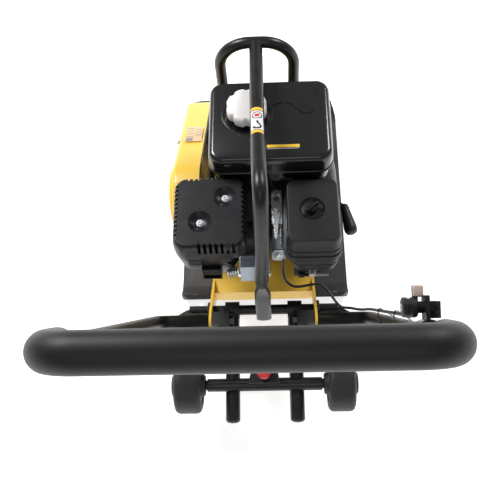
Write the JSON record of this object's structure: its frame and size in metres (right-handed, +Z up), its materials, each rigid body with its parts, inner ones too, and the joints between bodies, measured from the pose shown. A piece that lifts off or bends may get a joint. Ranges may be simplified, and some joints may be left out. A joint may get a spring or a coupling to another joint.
{
  "type": "plate compactor",
  "caption": "Walk-behind plate compactor: petrol engine on a sprung deck over a vibrating base plate, with folding handle, lifting arch and transport wheels.",
  "frame": {"origin": "on the ground at the centre of the base plate's flat sole", "axes": "+Z up, +Y the direction of travel, +X the operator's right"},
  "size_m": [0.457, 0.9365, 0.8615],
  "materials": {
    "yellow_paint": "semi-gloss powder coat",
    "black_steel": "satin black enamel",
    "cast_grey": "dark grey paint",
    "black_plastic": "matte",
    "gloss_black": "gloss black enamel",
    "aluminium": "as cast",
    "zinc": "zinc plated",
    "rubber": "matte",
    "foam": "soft foam",
    "tyre": "solid rubber",
    "white_plastic": "satin",
    "red_plastic": "satin",
    "filter_foam": "open foam"
  },
  "bodies": {
    "machine": {"base_plate": "cast_grey", "exciter_housing": "cast_grey", "exciter_cover_left": "cast_grey", "exciter_cover_right": "cast_grey", "exciter_bearing_left": "zinc", "exciter_bearing_right": "zinc", "control_bracket": "zinc", "pivot_bolt_left": "zinc", "pivot_bolt_right": "zinc", "v_belt": "rubber", "rubber_mount_front_left": "rubber", "rubber_mount_rear_left": "rubber", "rubber_mount_front_right": "rubber", "rubber_mount_rear_right": "rubber", "spark_plug_cap": "rubber", "pivot_bush_left": "rubber", "pivot_bush_right": "rubber", "engine_deck": "yellow_paint", "belt_guard": "yellow_paint", "lift_arch": "black_steel", "lift_bar": "black_steel", "cross_beam": "black_steel", "belt_guard_back": "black_steel", "muffler_body": "black_steel", "muffler_shield": "black_steel", "crankcase": "aluminium", "cylinder_head": "aluminium", "valve_cover": "aluminium", "carburettor": "aluminium", "fan_shroud": "black_plastic", "recoil_cover": "black_plastic", "air_filter_base": "black_plastic", "air_filter_cover": "black_plastic", "control_panel": "black_plastic", "throttle_cable_lower": "black_plastic", "fuel_tank": "gloss_black", "air_filter_element": "filter_foam"},
    "handle": {"handle_frame": "black_steel", "handle_grip": "foam", "throttle_bracket": "black_steel", "throttle_cable_upper": "black_plastic"},
    "throttle_lever": {"throttle_lever": "aluminium"},
    "wheel_frame": {"wheel_frame": "black_steel"},
    "wheel_left": {"wheel_left": "tyre"},
    "wheel_right": {"wheel_right": "tyre"},
    "lock_knob": {"lock_knob": "red_plastic"},
    "crank": {"crankshaft": "zinc", "clutch_pulley": "zinc", "flywheel": "aluminium"},
    "exciter": {"exciter_shaft": "zinc", "exciter_pulley": "zinc"},
    "starter_grip": {"starter_grip": "black_plastic"},
    "recoil_reel": {"recoil_reel": "aluminium"},
    "fuel_cap": {"fuel_cap": "white_plastic"},
    "air_filter_knob": {"air_filter_knob": "black_plastic"},
    "choke_lever": {"choke_lever": "zinc"},
    "fuel_valve_lever": {"fuel_valve_lever": "black_plastic"},
    "engine_switch": {"engine_switch": "red_plastic"},
    "oil_filler_cap": {"oil_filler_cap": "black_plastic"},
    "governor_lever": {"governor_lever": "zinc"}
  },
  "joints": [
    {"name": "handle_fold", "type": "hinge", "parent": "machine", "child": "handle", "pos_m": [0, -0.372, 0.182], "axis": [-1, 0, 0], "range_deg": [0, 93]},
    {"name": "wheel_frame_swing", "type": "hinge", "parent": "machine", "child": "wheel_frame", "pos_m": [0, -0.338, 0.15], "axis": [1, 0, 0], "range_deg": [0, 28]},
    {"name": "starter_pull", "type": "slide", "parent": "machine", "child": "starter_grip", "axis": [0, -0.5, 0.866], "range_m": [0, 0.35], "stiffness_N_per_m": 30},
    {"name": "throttle", "type": "hinge", "parent": "handle", "child": "throttle_lever", "pos_m": [0.185, -0.5582, 0.7029], "axis": [1, 0, 0], "range_deg": [0, 60]},
    {"name": "wheel_left_spin", "type": "hinge", "parent": "wheel_frame", "child": "wheel_left", "pos_m": [-0.146, -0.487, 0.137], "axis": [1, 0, 0], "continuous": true},
    {"name": "wheel_right_spin", "type": "hinge", "parent": "wheel_frame", "child": "wheel_right", "pos_m": [0.146, -0.487, 0.137], "axis": [1, 0, 0], "continuous": true},
    {"name": "lock_knob_turn", "type": "hinge", "parent": "machine", "child": "lock_knob", "pos_m": [0, -0.475, 0.179], "axis": [0, 0, 1], "range_deg": [0, 360]},
    {"name": "crank_spin", "type": "hinge", "parent": "machine", "child": "crank", "pos_m": [-0.14, -0.12, 0.236], "axis": [1, 0, 0], "continuous": true},
    {"name": "exciter_spin", "type": "hinge", "parent": "machine", "child": "exciter", "pos_m": [-0.14, 0.14, 0.092], "axis": [1, 0, 0], "continuous": true},
    {"name": "recoil_reel_turn", "type": "hinge", "parent": "machine", "child": "recoil_reel", "pos_m": [0.134, -0.12, 0.236], "axis": [1, 0, 0], "range_deg": [0, 440]},
    {"name": "fuel_cap_turn", "type": "hinge", "parent": "machine", "child": "fuel_cap", "pos_m": [-0.018, -0.071, 0.455], "axis": [0, 0, 1], "range_deg": [0, 90]},
    {"name": "air_filter_knob_turn", "type": "hinge", "parent": "machine", "child": "air_filter_knob", "pos_m": [0.094, -0.247, 0.4], "axis": [0, 0, 1], "range_deg": [0, 360]},
    {"name": "choke", "type": "hinge", "parent": "machine", "child": "choke_lever", "pos_m": [0.096, -0.303, 0.256], "axis": [0, -1, 0], "range_deg": [0, 35]},
    {"name": "fuel_valve", "type": "hinge", "parent": "machine", "child": "fuel_valve_lever", "pos_m": [0.076, -0.303, 0.238], "axis": [0, 1, 0], "range_deg": [0, 90]},
    {"name": "engine_switch_turn", "type": "hinge", "parent": "machine", "child": "engine_switch", "pos_m": [0.138, -0.262, 0.248], "axis": [1, 0, 0], "range_deg": [0, 90]},
    {"name": "oil_filler_cap_turn", "type": "hinge", "parent": "machine", "child": "oil_filler_cap", "pos_m": [0.044, -0.2, 0.166], "axis": [0, 1, 0], "range_deg": [0, 360]},
    {"name": "governor", "type": "hinge", "parent": "machine", "child": "governor_lever", "pos_m": [0.03, -0.214, 0.331], "axis": [0, 0, 1], "range_deg": [-8, 8]}
  ],
  "couplings": [
    {"joint": "exciter_spin", "follows": "crank_spin", "ratio": 1.1429},
    {"joint": "recoil_reel_turn", "follows": "starter_pull", "rad_per_m": 21.739}
  ]
}
